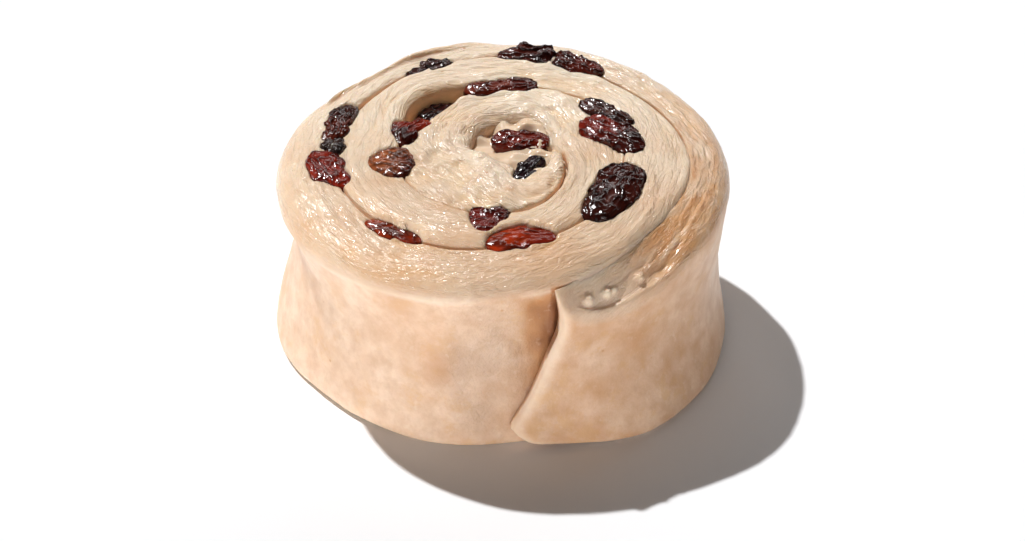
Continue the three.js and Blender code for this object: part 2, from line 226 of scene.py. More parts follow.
def smooth_noise(x, y, z=0.0, seed=0.0):
    """Smooth noise from 0 to 1: a number hashed from each corner of a unit grid, blended between
    the eight corners round a point by 3t^2 - 2t^3."""
    x, y, z = np.broadcast_arrays(x, y, z)
    cell = [np.floor(v) for v in (x, y, z)]
    part = [v - c for v, c in zip((x, y, z), cell)]
    part = [t * t * (3 - 2 * t) for t in part]
    total = 0
    for corner in range(8):
        step = [corner & 1, corner >> 1 & 1, corner >> 2]
        hashed = sum((c + s) * k for c, s, k in zip(cell, step, CORNER_SCATTER))
        value = np.modf(np.abs(np.sin(hashed + seed * SEED_SCATTER) * SCATTER))[0]
        weight = 1
        for s, t in zip(step, part):
            weight = weight * (t if s else 1 - t)
        total = total + value * weight
    return total


def folds(x, y, z=0.0, seed=0.0):
    """Rounded ridges between sharp creases, 0 in a crease and up to 1.8: how far smooth noise is
    from its middle value, once as given and once less strongly at about twice the pace."""
    coarse = np.abs(2 * smooth_noise(x, y, z, seed) - 1)
    fine = np.abs(2 * smooth_noise(2.1 * x, 2.1 * y, 2.1 * z, seed + 5) - 1)
    return 1.3 * coarse + 0.5 * fine


# Where each raisin lies: yaw in degrees, shift in plan from its CAD solid, and its outline in plan
# as radii in millimetres at every thirty degrees anticlockwise from +X. The five on the underside
# have one outline, turned by the nearest thirty degrees.
RAISIN_LIE = {
    "raisin_01": (-6, (0.4, -0.4), (4.5, 5, 3.1, 3.4, 3.1, 3.7, 5.3, 4.3, 2.5, 2.7, 3.9, 4.4)),
    "raisin_02": (-30, (-0.6, -0.1), (3.8, 2.8, 2.4, 4, 5, 3.8, 3.9, 3.4, 3, 3.2, 4, 6)),
    "raisin_03": (33, (0.4, -0.1), (3.2, 4.7, 3, 2.3, 2.2, 2.2, 2.4, 5.2, 2, 1.4, 1.6, 2.1)),
    "raisin_04": (78, (0.2, -0.9), (2.2, 3.2, 6, 5.8, 3.8, 2.6, 2.4, 2.6, 5.4, 4.6, 3.4, 1.9)),
    "raisin_05": (80, (-0.8, 0.3), (2.3, 2, 2.8, 2.4, 2.4, 2.3, 2.6, 2, 2.2, 2.6, 2.8, 2.2)),
    "raisin_06": (-59, (0, 0.1), (3, 3.5, 4, 5.3, 5.6, 4.6, 3.6, 3.6, 3.7, 3.7, 5.7, 4.7)),
    "raisin_07": (-35, (-0.5, 0.7), (2.4, 1.7, 1.6, 2, 3, 5.2, 3.2, 2.5, 2.1, 2.1, 2.9, 6.2)),
    "raisin_08": (5, (0.3, 0.9), (6.2, 4.6, 3.5, 3.2, 3.1, 3.6, 5.4, 6.2, 4, 3, 2.9, 3.6)),
    "raisin_09": (22, (-0.4, -0.4), (3.4, 4, 3.6, 2.8, 3.4, 3.7, 3.4, 3.6, 4.5, 4.5, 2.9, 2.5)),
    "raisin_10": (59, (-0.4, -0.1), (4.8, 6.4, 8.8, 7.8, 5.2, 4, 4.3, 5.8, 9.2, 7, 4.8, 4.3)),
    "raisin_11": (-39, (0.4, -0.7), (2.9, 2.1, 2.1, 2.8, 4.7, 5, 3.5, 1.8, 1.9, 2.4, 4.4, 6)),
    "raisin_12": (-35, (0, -0.6), (4.9, 4, 3.4, 4, 6.6, 6.5, 5.3, 3.6, 3.1, 4.1, 6.3, 6)),
    "raisin_13": (14, (-0.8, -0.7), (5.8, 5.4, 2.9, 2.2, 1.8, 2.6, 6.2, 5.4, 2.5, 1.6, 1.8, 3.6)),
    "raisin_14": (38, (0, 0), (3, 4.4, 3.4, 2.3, 2, 2.2, 3, 4.4, 3.4, 2.3, 2, 2.2)),
    "raisin_15": (56, (-0.4, 0.3), (2.1, 4.6, 4, 2.4, 3.6, 3.4, 3.1, 3.2, 3.9, 4.2, 2.7, 1.9)),
    "raisin_16": (-22, (0.5, 0), (3.7, 4.4, 5.2, 5, 4.6, 4.4, 4, 3.2, 3, 3.4, 3.9, 3.6)),
    "raisin_17": (-6, (-0.25, 0), (5.2, 4.4, 3, 2.6, 3.1, 4.6, 5, 3.9, 2.9, 2.8, 3.2, 4.4)),
    "raisin_18": (56, (-0.2, 0.9), (1.8, 3, 3.4, 2.8, 2.1, 2, 2.3, 3.2, 5.4, 3.4, 2.2, 1.7)),
}
OUTLINE_POINTS = 12
BASE_OUTLINE = (4.9, 3.8, 2.6, 2.2, 2.5, 3.6, 5.1, 3.6, 2.6, 2.3, 2.7, 4)
BASE_YAWS = (209, 281, 105, 238, 325)
for number, yaw in enumerate(BASE_YAWS):
    steps_turned = yaw // (TURN // OUTLINE_POINTS) % OUTLINE_POINTS
    turned = BASE_OUTLINE[-steps_turned:] + BASE_OUTLINE[:-steps_turned]
    RAISIN_LIE[f"base_raisin_{number + 1}"] = (yaw, (0, 0), turned)


def raisin_middle(name):
    """Middle of a raisin in plan, in millimetres."""
    low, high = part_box(name)
    middle = (np.array(low) + np.array(high)) / 2 / MM
    return middle[0] + 1j * middle[1] + complex(*RAISIN_LIE[name][1])


def outline_radius(name, angle):
    """Radius of a raisin's outline at an angle in radians: the sum of the fewest sine waves that
    passes through the radii given."""
    waves = np.fft.rfft(RAISIN_LIE[name][2]) / OUTLINE_POINTS
    radius = waves[0].real + 0 * angle
    for count in range(1, 6):
        radius = radius + 2 * (waves[count] * np.exp(1j * count * angle)).real
    return radius + (waves[6] * np.exp(6j * angle)).real


def beside_raisin(points, name):
    """Distance in plan outwards from a raisin's outline, along the ray from its middle, taken as
    three quarters for the slant of the outline to the ray."""
    offset = points[..., 0] + 1j * points[..., 1] - raisin_middle(name)
    return 0.75 * (np.abs(offset) - outline_radius(name, np.angle(offset)))


def grid_normals(points):
    """Unit normals of a grid of points that closes on itself across its columns."""
    along = np.gradient(points, axis=0)
    across = np.roll(points, -1, axis=1) - np.roll(points, 1, axis=1)
    normal = np.cross(across, along)
    return normal / np.maximum(np.linalg.norm(normal, axis=-1, keepdims=True), 1e-9)


def tube_mesh(name, points, attributes, uv=None):
    """Closed mesh through a grid of points in millimetres whose rows are rings. The first and last
    rings are zipped shut, each point joined to its opposite. Attributes are numbers or colours on
    the points, and uv is in millimetres."""
    rows, columns = points.shape[:2]
    row, column = np.mgrid[0:rows - 1, 0:columns]
    a = row * columns + column
    b = row * columns + (column + 1) % columns
    quads = np.stack([a, b, b + columns, a + columns], axis=-1).reshape(-1, 4)
    near = np.arange(columns // 2 - 1)
    far = columns - 1 - near
    zip_start = np.stack([near, far, far - 1, near + 1], axis=-1)
    zip_end = zip_start[:, ::-1] + (rows - 1) * columns
    mesh = bpy.data.meshes.new(name)
    faces = np.vstack([quads, zip_start, zip_end]).tolist()
    mesh.from_pydata((points.reshape(-1, 3) * MM).tolist(), [], faces)
    mesh.polygons.foreach_set("use_smooth", np.ones(len(faces), bool))
    for key, values in attributes.items():
        flat = values.reshape(rows * columns, -1).astype(np.float32)
        kind, field = ("FLOAT", "value") if flat.shape[1] == 1 else ("FLOAT_COLOR", "color")
        mesh.attributes.new(key, kind, "POINT").data.foreach_set(field, flat.ravel())
    if uv is not None:
        corners = np.zeros(len(mesh.loops), np.int32)
        mesh.loops.foreach_get("vertex_index", corners)
        flat = uv.reshape(-1, 2)[corners].astype(np.float32) * MM
        mesh.uv_layers.new(name="along_across").data.foreach_set("uv", flat.ravel())
    mesh.update()
    piece = bpy.data.objects.new(name, mesh)
    bpy.context.scene.collection.objects.link(piece)
    return piece


# Rows of the strip: close together at the loose end's rounded edge, then evenly along its length
ROW_SPACING = 0.48
END_ROWS = 12
END_WINDING = 5
trial = np.linspace(0, WINDING_END, 6000)
middle_line = (face_point(trial, 0) + face_point(trial - TURN, 0)) / 2
length_so_far = np.concatenate([[0], np.cumsum(np.abs(np.diff(middle_line)))])
first_length = np.interp(END_WINDING, trial, length_so_far)
row_lengths = np.arange(first_length, length_so_far[-1], ROW_SPACING)
row_windings = np.interp(row_lengths, length_so_far, trial)
end_windings = END_WINDING * np.linspace(0, 1, END_ROWS)[:-1] ** 2
row_windings = np.concatenate([end_windings, row_windings])[:, None]
along_strip = np.interp(row_windings, trial, length_so_far)
first_turn = row_windings < TURN

# The two sides of each row in plan, their heights, and their roundings, none of which takes up
# more than a share of the thickness
gap_outside = np.where(
    first_turn, through(TAIL_LIP, row_windings), -through(SLIT, row_windings - TURN)
)
inner_face = face_point(row_windings, through(SLIT, row_windings) - through(TAIL_TUCK, row_windings))
outer_face = face_point(row_windings - TURN, gap_outside)
thickness = np.abs(outer_face - inner_face)
inner_top = crown(inner_face) + through(INNER_RISE, row_windings)
outer_top = crown(outer_face) + through(OUTER_RISE, row_windings)
base = TAIL_NOSE_LIFT * np.clip(1 - row_windings / TAIL_NOSE_LENGTH, 0, 1) ** 2
outer_round = np.minimum(through(OUTER_ROUND, row_windings), thickness * 0.5)
inner_round = np.minimum(through(INNER_ROUND, row_windings), thickness * 0.4)
base_round = np.minimum(BASE_ROUND, thickness * 0.3)


def between(start, end, shares):
    """Points on the straight line from start to end, at shares of the way."""
    return start + (end - start) * np.array(shares)[None, :, None]


def rounded(before, corner, after, radius, count):
    """Corner of an outline as a parabola that leaves the two straight sides at the radius from it."""
    inwards = (before - corner) / np.linalg.norm(before - corner, axis=-1, keepdims=True)
    onwards = (after - corner) / np.linalg.norm(after - corner, axis=-1, keepdims=True)
    t = np.linspace(0, 1, count)[None, :, None]
    start = corner + inwards * radius[..., None]
    end = corner + onwards * radius[..., None]
    return (1 - t) ** 2 * start + 2 * t * (1 - t) * corner + t**2 * end


# Outline of the strip across its width, as distance from the inner face and height: from the middle
# of the base to the inner side, up it, over the top, down the outer side and back
BASE_SHARES = (0.25, 0.75)
BASE_STEPS, HEEL_STEPS, SIDE_STEPS, EDGE_STEPS, TOP_STEPS = len(BASE_SHARES), 4, 19, 8, 32
base_inner = np.stack([0 * thickness, base], axis=-1)
top_inner = np.stack([0 * thickness, inner_top], axis=-1)
top_outer = np.stack([thickness, outer_top], axis=-1)
base_outer = np.stack([thickness, base], axis=-1)
base_middle = (base_inner + base_outer) / 2
side_shares = np.linspace(0, 1, SIDE_STEPS + 2)[1:-1]
top_shares = np.linspace(0, 1, TOP_STEPS + 2)[1:-1]
inner_heel = rounded(base_outer, base_inner, top_inner, base_round, HEEL_STEPS)
inner_edge = rounded(base_inner, top_inner, top_outer, inner_round, EDGE_STEPS)
outer_edge = rounded(top_inner, top_outer, base_outer, outer_round, EDGE_STEPS)
outer_heel = rounded(top_outer, base_outer, base_inner, base_round, HEEL_STEPS)
outline = np.concatenate(
    [
        between(base_middle, inner_heel[:, :1], BASE_SHARES),
        inner_heel,
        between(inner_heel[:, -1:], inner_edge[:, :1], side_shares),
        inner_edge,
        between(inner_edge[:, -1:], outer_edge[:, :1], top_shares),
        outer_edge,
        between(outer_edge[:, -1:], outer_heel[:, :1], side_shares),
        outer_heel,
        between(outer_heel[:, -1:], base_middle, BASE_SHARES),
    ],
    axis=1,
)
across, height = outline[..., 0], outline[..., 1]
share = across / thickness
from_outside = thickness - across

# How much a point belongs to the cut top, to the base and to the outer side, from 0 to 1
ramp = np.linspace(0, 1, EDGE_STEPS)
heel_ramp = np.linspace(1, 0, HEEL_STEPS)
no_side = np.zeros(BASE_STEPS + HEEL_STEPS + SIDE_STEPS)
on_top = np.concatenate([no_side, ramp, np.ones(TOP_STEPS), ramp[::-1], no_side])
no_half_top = np.zeros(SIDE_STEPS + EDGE_STEPS + TOP_STEPS // 2)
on_base = np.concatenate([np.ones(BASE_STEPS), heel_ramp, no_half_top])
on_base = np.concatenate([on_base, on_base[::-1]])
no_top = np.zeros(EDGE_STEPS + TOP_STEPS)
on_wall = [no_side, no_top, ramp, np.ones(SIDE_STEPS), heel_ramp, np.zeros(BASE_STEPS)]
on_wall = np.concatenate(on_wall)

# The loose end slants along the strip
fade = np.clip(1 - row_windings / TAIL_SLANT_FADES_BY, 0, 1) ** 2
slanted = row_windings + through(TAIL_SLANT, height) * fade
seam_side = through(SLIT, slanted) - through(TAIL_TUCK, slanted)
slanted_inner = face_point(slanted, np.where(slanted < 0, TAIL_STANDS_OFF, seam_side))
slanted_outer = np.where(
    row_windings < TAIL_SLANT_FADES_BY,
    face_point(slanted - TURN, through(TAIL_LIP, row_windings)),
    outer_face,
)

# The top bulges between its edges, but is hollow on the loose end. A thin rim stands along its
# outer edge there, and again at the back on the left.
RIM_HEIGHT = 0.6
RIM_INSET = 1
BACK_RIM_HEIGHT = 0.9
BACK_RIM_INSET = 2
RIM_WIDTH = 0.6
bulge = through(TOP_BULGE, row_windings) * 4 * share * (1 - share)
rim = RIM_HEIGHT * bell(from_outside - RIM_INSET, RIM_WIDTH) * within(row_windings, 0, 9, 30, 50)
height = height + on_top * (bulge + rim)
at_back_rim = within(row_windings, 168, 180, 226, 236)
back_rim = at_back_rim * bell(from_outside - BACK_RIM_INSET, RIM_WIDTH)
height = height + on_top * BACK_RIM_HEIGHT * back_rim
strip = settle(slanted_inner + (slanted_outer - slanted_inner) * share, height)

# Where the points are before relief, which all the patterns below are made from
x, y, z = (strip[..., i] for i in range(3))

# Relief of the cut faces, along the normal: broad unevenness, rounded folds drawn out along the
# strip, short fine wrinkles in patches, and crumbs, which are deeper on the outer turn at the
# right. Each is noise, and what its place is divided by is its size in millimetres.
BROAD_DEPTH = 0.7
FOLD_DEPTH = 0.17
WRINKLE_DEPTH = 0.11
CRUMB_DEPTH = 0.12
MORE_CRUMB_DEPTH = 0.42
warp = smooth_noise(along_strip / 7, across / 3, seed=1)
broad = smooth_noise(along_strip / 10, across / 3.4 + warp, seed=2) - 0.5
long_folds = folds(along_strip / 8.5, (across + 2.8 * warp) / 2.1, seed=3) - 0.75
patches = ease(smooth_noise(along_strip / 7, across / 3.5, seed=4), 0.25, 0.65)
wrinkles = folds(along_strip / 3 + warp, (across + 1.8 * warp) / 0.8, seed=5) - 0.75
crumbs = smooth_noise(along_strip / 2, across / 0.55 + warp, seed=6) - 0.5
crumbly = within(row_windings, 25, 45, 120, 190) * ease(share, 0.1, 0.4)
cut_relief = BROAD_DEPTH * broad + FOLD_DEPTH * long_folds + WRINKLE_DEPTH * patches * wrinkles
cut_relief = cut_relief + (CRUMB_DEPTH + MORE_CRUMB_DEPTH * crumbly) * crumbs

# Round the eye the dough is pressed into lobes, and there and on the loose end lumps stand up
PRESSED_DEPTH = 0.9
pressed = smooth_noise(x / 3.4, y / 3.4, seed=21) + 0.5 * smooth_noise(x / 1.5, y / 1.5, seed=22)
cut_relief = cut_relief + PRESSED_DEPTH * (pressed - 0.75) * ease(row_windings, 700, 860)
lumps = 0
for lump_middle, lump_radius, lump_height in PELLETS + LUMPS:
    away = np.linalg.norm(strip - lump_middle, axis=-1) / lump_radius
    lumps = np.maximum(lumps, lump_height * ease(away, 1.2, 0.2))
cut_relief = cut_relief * ease(row_windings, 5, 35) + lumps

# The skin is nearly flat, with dents and small pimples, and a ridge runs along the shoulder
DENT_DEPTH = 0.55
PIMPLE_DEPTH = 0.14
SHOULDER_RIDGE = 0.3
BASE_FOLD_DEPTH = 0.2
BASE_HOLLOW = 0.15
dents = smooth_noise(x / 9, y / 9, z / 7, seed=8) - 0.5
pimples = smooth_noise(x / 2.4, y / 2.4, z / 2, seed=9) - 0.5
skin_relief = (DENT_DEPTH * dents + PIMPLE_DEPTH * pimples) * first_turn
shoulder = (share > 0.5) * first_turn * ease(row_windings, 40, 90)
shoulder = shoulder * bell(on_top - 0.16, 0.12) * (0.4 + smooth_noise(along_strip / 6, 0, seed=15))
relief = on_top * cut_relief + on_wall * (1 - on_top) * skin_relief
relief = relief + on_base * (BASE_FOLD_DEPTH * long_folds - BASE_HOLLOW)
relief = relief + SHOULDER_RIDGE * shoulder

# Beside the loose end the wall is torn, where that end was pulled away and pressed on again
TORN_DEPTH = 0.8
TORN_UNEVENNESS = 1.3
edge_noise = 4 * (smooth_noise(height / 4, along_strip / 4, seed=17) - 0.5)
beside_end = ease(row_windings + edge_noise, 347, 361) * (row_windings < TURN + 8)
beside_end = beside_end * ease(height, 35, 27) * on_wall
torn = smooth_noise(x / 1.1, y / 1.1, z / 1.3, seed=16) - 0.5
relief = relief - beside_end * ease(height, 4, 14) * (TORN_DEPTH + TORN_UNEVENNESS * torn)
strip = strip + grid_normals(strip) * relief[..., None]

# The dough dips round each raisin with a rounded lip, but for the raisin that lies in the open gap
LIP_WIDTH = 0.2
HOLLOW_WIDTH = 0.9
HOLLOW_DEPTH = 2.2
RAISIN_IN_GAP = "raisin_14"
dip = np.zeros(height.shape)
lift = np.zeros(height.shape)
for name in RAISIN_LIE:
    beside = ease(beside_raisin(strip, name), LIP_WIDTH, -HOLLOW_WIDTH)
    if name.startswith("base"):
        lift = np.maximum(lift, beside)
    elif name != RAISIN_IN_GAP:
        dip = np.maximum(dip, beside)
near_top = ease(height, CROWN_HEIGHT - 9, CROWN_HEIGHT - 4)
strip[..., 2] += HOLLOW_DEPTH * (on_base * lift - near_top * dip)
strip[..., 2] = np.maximum(strip[..., 2], 0)

# How tan each point is, from 0 to 1, and on to 2 in the painted shade of the crevice beside the
# loose end; much of it is painted shade. The terms are: painted shade deep between the turns;
# mottled skin, more so on the right; painted shade on the wall from the loose end round to the
# right; broad clouds; painted shade in the hollows of the cut; the outer turn on the right, tan in
# streaks; painted shade on the front of the cut; and the loose end's top, a little all over and
# more on its inner side, which is painted shade of the valley against the turn inside it.
edge_height = np.where(share > 0.5, outer_top, inner_top)
depth = np.clip(edge_height - height, 0, None)
covered = np.where(on_wall > 0, (row_windings > TURN) * on_wall, 1 - on_top - on_base)
open_gap = (share < 0.5) * within(row_windings, 530, 550, 610, 650)
tan = 0.6 * covered * ease(depth, 0.2, 4) * (1 - open_gap)
mottles = ease(smooth_noise(x / 2.4, y / 2.4, z / 1.6, seed=19), 0.4, 0.9)
tan = tan + on_wall * first_turn * (0.08 + 0.22 * ease(x, -18, 8)) * mottles
tan = tan + 0.22 * on_wall * ease(row_windings, 140, 60)
tan = tan + 0.3 * smooth_noise(x / 8, y / 8, z / 6, seed=12) ** 2
tan = tan + on_top * 0.65 * ease(cut_relief, -0.1, -0.55) * ease(row_windings, 900, 700)
tan_streaks = ease(smooth_noise(along_strip / 4, across / 0.9 + 2 * warp, seed=18), 0.2, 0.8)
behind_end = ease(row_windings, 10, 45)
tan = tan + on_top * (0.28 + 0.6 * tan_streaks) * ease(row_windings, 175, 85) * behind_end
tan = tan + on_top * 0.3 * ease(y, -8, -34) * behind_end
tan = tan + on_top * ease(row_windings, 45, 15) * (0.2 * ease(share, 0.5, 0.1) + 0.1)

# Lumps are paler, a painted highlight; the wall beside the loose end is darker, painted shade of
# the crevice there; the outside of the back rim is darker; and here and there is a spot: place,
# size and strength
SPOTS = (
    ((-10.3, -33.8, 15.4), 3.2, 0.5), ((23.5, -29.2, 19.4), 3, 0.5), ((-16, -31, 30), 4, 0.35),
    ((30, -24, 12), 4, 0.35), ((-13.1, 19.5, 36), 0.7, 1.5), ((1.5, -11, 36.4), 0.6, 1.1),
    ((11.2, 2.7, 36.2), 0.9, 0.6), ((10.9, -0.6, 36), 1.2, 0.8), ((-6, 12, 36.5), 1.4, 0.4),
)
tan = tan - 0.25 * ease(lumps, 0, 0.6)
crevice_shade_patches = 0.7 + 0.6 * smooth_noise(x / 2, y / 2, z / 3, seed=13)
tan = tan + beside_end * (0.6 + 0.8 * ease(height, 8, 22)) * crevice_shade_patches
tan = tan + 0.65 * at_back_rim * ease(from_outside, 3, 2.3) * ease(height, 28, 33)
for spot, size, strength in SPOTS:
    tan = tan + strength * bell(np.linalg.norm(strip - spot, axis=-1), size)

# Film is a patch of damp skin at the front. Where this mark is below 0 the dough is painted paler,
# as painted light: a painted highlight on the loose end's edge and along the shoulder ridge, and on
# top painted light on the loose end, a painted sheen towards the back and a painted highlight round
# the eye.
FILM_MIDDLE = (-3, -37, 17)
FILM_SIZE = (7, 12, 13)
film_and_painted_light = 0.8 * bell(np.linalg.norm((strip - FILM_MIDDLE) / FILM_SIZE, axis=-1), 1)
film_and_painted_light = film_and_painted_light * (0.4 + 1.2 * smooth_noise(x / 4, y / 4, z / 6, seed=14))
film_and_painted_light = film_and_painted_light - 0.5 * ease(row_windings, 4, 0.5) * on_wall - 0.5 * shoulder
painted_light_on_top = 0.22 * ease(row_windings, 42, 20) + 0.55 * ease(y, -8, 26)
film_and_painted_light = film_and_painted_light - on_top * (painted_light_on_top + 0.4 * ease(np.hypot(x - 1, y), 14, 5))

# Painted golden light: the open gap, which the lamps hardly reach, is painted brighter and golden,
# and the hollows of the cut golden, standing for light glowing through the dough
painted_glow = 0.8 * covered * open_gap + 0.4 * on_top * ease(cut_relief, 0, -0.6)

# Which points have the cut's finish and not the skin's. The loose end's top has some of each.
cut = np.clip(4 * on_top - 0.6 + 2 * on_base, 0, 1) * ease(row_windings, -20, 50)
outline_steps = np.linalg.norm(np.diff(outline, axis=1, prepend=outline[:, :1]), axis=-1)
strip_uv = np.stack([along_strip + 0 * share, np.cumsum(outline_steps, axis=1)], axis=-1)
marks = {"cut": cut, "tan": np.clip(tan, 0, 2), "film_and_painted_light": film_and_painted_light, "painted_glow": painted_glow}
dough = tube_mesh("dough_strip", strip, marks, strip_uv)


def linear(code):
    """The linear colour of an sRGB hex code."""
    parts = np.array([int(code[i:i + 2], 16) for i in (1, 3, 5)]) / 255
    parts = np.where(parts <= 0.04045, parts / 12.92, ((parts + 0.055) / 1.055) ** 2.4)
    return (*(float(part) for part in parts), 1.0)


def add(tree, kind, settings):
    """Adds a node. A setting is one of its properties or an input, by name or number, and a socket
    given as an input's value is linked to it. A mix has its share at input 0, and its two colours
    at 6 and 7 or its two numbers at 2 and 3. A MapRange takes the values 1 and 2 to 3 and 4."""
    node = tree.nodes.new("ShaderNode" + kind)
    for key, value in settings.items():
        if isinstance(key, str) and hasattr(node, key):
            setattr(node, key, value)
        elif isinstance(value, bpy.types.NodeSocket):
            tree.links.new(value, node.inputs[key])
        else:
            node.inputs[key].default_value = value
    return node


def new_material(name):
    """A material with an empty tree and its output, as (material, tree, output)."""
    material = bpy.data.materials.new(name)
    material.use_nodes = True
    material.node_tree.nodes.clear()
    output = material.node_tree.nodes.new("ShaderNodeOutputMaterial")
    return material, material.node_tree, output


# Raw laminated dough: flour, water and butter, rolled and cut. The cut face is wet and catches the
# light along its layers, the skin is satin, and light goes a millimetre or two into both.
CREAM = "#ead1b5"
SKIN = "#f6d7bc"
SKIN_GREYER = "#dcb594"
STAIN = "#e8bd8b"
TAN = "#ca9262"
CLOUD_BROWN = "#d8a880"
FILM = "#c4a48c"
PALE = "#fdecd6"
# The next two colours are painted: shade in the crevice beside the loose end, and a golden glow for
# light through the dough
CREVICE_SHADE = "#94603f"
PAINTED_GLOW = "#fad4a2"
# How many of each pattern go into a metre. Along the strip and across its layers there are streaks
# of 2.6 by 0.95 mm and ridges of 9 by 1.6 mm, coarser than real layers so that they show. All over
# there are blotches of 3 mm, stains of 6.7 mm, clouds of 7 mm, grains of 0.8 mm, specks of 1.4 mm
# and pits 5.9 mm apart.
STREAKS_PER_METRE = (380, 1050, 1)
RIDGES_PER_METRE = (110, 620, 1)
BLOTCHES_PER_METRE = 330
STAINS_PER_METRE = 150
CLOUDS_PER_METRE = 140
GRAINS_PER_METRE = 1300
SPECKS_PER_METRE = 700
PITS_PER_METRE = 170
dough_material, tree, output = new_material("raw_laminated_dough")
coords = add(tree, "TexCoord", {})
place, along_across = coords.outputs["Object"], coords.outputs["UV"]
cut_share = add(tree, "Attribute", {"attribute_name": "cut"}).outputs["Fac"]
tan_and_painted_shade_share = add(tree, "Attribute", {"attribute_name": "tan"}).outputs["Fac"]
film_and_painted_light_share = add(tree, "Attribute", {"attribute_name": "film_and_painted_light"}).outputs["Fac"]
painted_glow_share = add(tree, "Attribute", {"attribute_name": "painted_glow"}).outputs["Fac"]

# Colours: the skin with greyer blotches and yellow stains, or the cream of the cut, with browner
# clouds on both; then by the marks on the dough: tan with painted shade, painted shade in the
# crevice beside the loose end, the damp film, painted light, and a painted golden glow
blotch = add(
    tree, "TexNoise",
    {"Vector": place, "Scale": BLOTCHES_PER_METRE, "Detail": 5.0, "Roughness": 0.65},
)
blotch_share = add(tree, "MapRange", {"Value": blotch.outputs[0], 1: 0.38, 2: 0.66, 3: 0.0, 4: 0.8})
blotched = add(
    tree, "Mix",
    {"data_type": "RGBA", 0: blotch_share.outputs[0], 6: linear(SKIN), 7: linear(SKIN_GREYER)},
)
stain = add(
    tree, "TexNoise",
    {"Vector": place, "Scale": STAINS_PER_METRE, "Detail": 7.0, "Roughness": 0.72},
)
stain_share = add(tree, "MapRange", {"Value": stain.outputs[0], 1: 0.53, 2: 0.62, 3: 0.0, 4: 0.6})
cloud = add(tree, "TexNoise", {"Vector": place, "Scale": CLOUDS_PER_METRE, "Detail": 3.0})
cloud_share = add(tree, "MapRange", {"Value": cloud.outputs[0], 1: 0.42, 2: 0.72, 3: 0.0, 4: 0.5})
# Past 1 the tan mark gives the painted crevice shade, and below 0 the film mark gives painted light
crevice_shade_share = add(tree, "Math", {"operation": "SUBTRACT", 0: tan_and_painted_shade_share, 1: 1.0})
painted_light_share = add(tree, "Math", {"operation": "MULTIPLY", 0: film_and_painted_light_share, 1: -1.0})
speck = add(tree, "TexNoise", {"Vector": place, "Scale": SPECKS_PER_METRE, "Detail": 3.0})
speck_share = add(tree, "MapRange", {"Value": speck.outputs[0], 1: 0.6, 2: 0.8, 3: 0.0, 4: 0.25})
pit = add(tree, "TexVoronoi", {"Vector": place, "Scale": PITS_PER_METRE})
pit_share = add(tree, "MapRange", {"Value": pit.outputs["Distance"], 1: 0.03, 2: 0.06, 3: 0.6, 4: 0.0})
colour = blotched
for mix_share, over in (
    (stain_share.outputs[0], STAIN), (cut_share, CREAM), (cloud_share.outputs[0], CLOUD_BROWN),
    (tan_and_painted_shade_share, TAN), (crevice_shade_share.outputs[0], CREVICE_SHADE), (film_and_painted_light_share, FILM),
    (painted_light_share.outputs[0], PALE), (painted_glow_share, PAINTED_GLOW), (speck_share.outputs[0], PALE),
    (pit_share.outputs[0], TAN),
):
    colour = add(tree, "Mix", {"data_type": "RGBA", 0: mix_share, 6: colour.outputs[2], 7: linear(over)})

# Gloss and bumps: streaks that vary how wet the cut is, with faint raised ridges between its
# layers, and a grain, which is strongest where the skin is damp
streak_map = add(tree, "Mapping", {"Vector": along_across, "Scale": STREAKS_PER_METRE})
streak = add(
    tree, "TexNoise",
    {"Vector": streak_map.outputs[0], "Scale": 1.0, "Detail": 3.0, "Roughness": 0.55, "Distortion": 0.8},
)
wet = add(tree, "MapRange", {"Value": streak.outputs[0], 1: 0.35, 2: 0.65, 3: 0.08, 4: 0.26})
skin_wet = add(tree, "MapRange", {"Value": film_and_painted_light_share, 1: 0.15, 2: 0.5, 3: 0.42, 4: 0.24})
roughness = add(
    tree, "Mix", {"data_type": "FLOAT", 0: cut_share, 2: skin_wet.outputs[0], 3: wet.outputs[0]}
)
ridge_map = add(tree, "Mapping", {"Vector": along_across, "Scale": RIDGES_PER_METRE})
ridge = add(
    tree, "TexNoise",
    {"Vector": ridge_map.outputs[0], "Scale": 1.0, "Detail": 3.0, "Roughness": 0.5, "Distortion": 1.2},
)
to_ridge = add(tree, "Math", {"operation": "SUBTRACT", 0: ridge.outputs[0], 1: 0.5})
off_ridge = add(tree, "Math", {"operation": "ABSOLUTE", 0: to_ridge.outputs[0]})
ridge_height = add(tree, "MapRange", {"Value": off_ridge.outputs[0], 1: 0.0, 2: 0.09, 3: 1.0, 4: 0.0})
ridge_bump = add(
    tree, "Bump", {"Height": ridge_height.outputs[0], "Strength": cut_share, "Distance": 0.08 * MM}
)
streak_bump = add(
    tree, "Bump",
    {
        "Height": streak.outputs[0], "Strength": cut_share, "Distance": 0.36 * MM,
        "Normal": ridge_bump.outputs[0],
    },
)
grain = add(
    tree, "TexNoise",
    {"Vector": place, "Scale": GRAINS_PER_METRE, "Detail": 4.0, "Roughness": 0.6},
)
grain_strength = add(tree, "MapRange", {"Value": film_and_painted_light_share, 1: 0.0, 2: 0.4, 3: 0.28, 4: 1.0})
grain_bump = add(
    tree, "Bump",
    {
        "Height": grain.outputs[0], "Strength": grain_strength.outputs[0], "Distance": 0.28 * MM,
        "Normal": streak_bump.outputs[0],
    },
)
surface = add(
    tree, "BsdfPrincipled",
    {
        "Base Color": colour.outputs[2], "Roughness": roughness.outputs[0], "IOR": 1.42,
        "Subsurface Weight": 0.36, "Subsurface Radius": (1.0, 0.72, 0.42), "Subsurface Scale": 1.9 * MM,
        "Normal": grain_bump.outputs[0],
    },
)
tree.links.new(surface.outputs[0], output.inputs["Surface"])
dough.data.materials.append(dough_material)
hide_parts("dough")
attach(dough, "root")


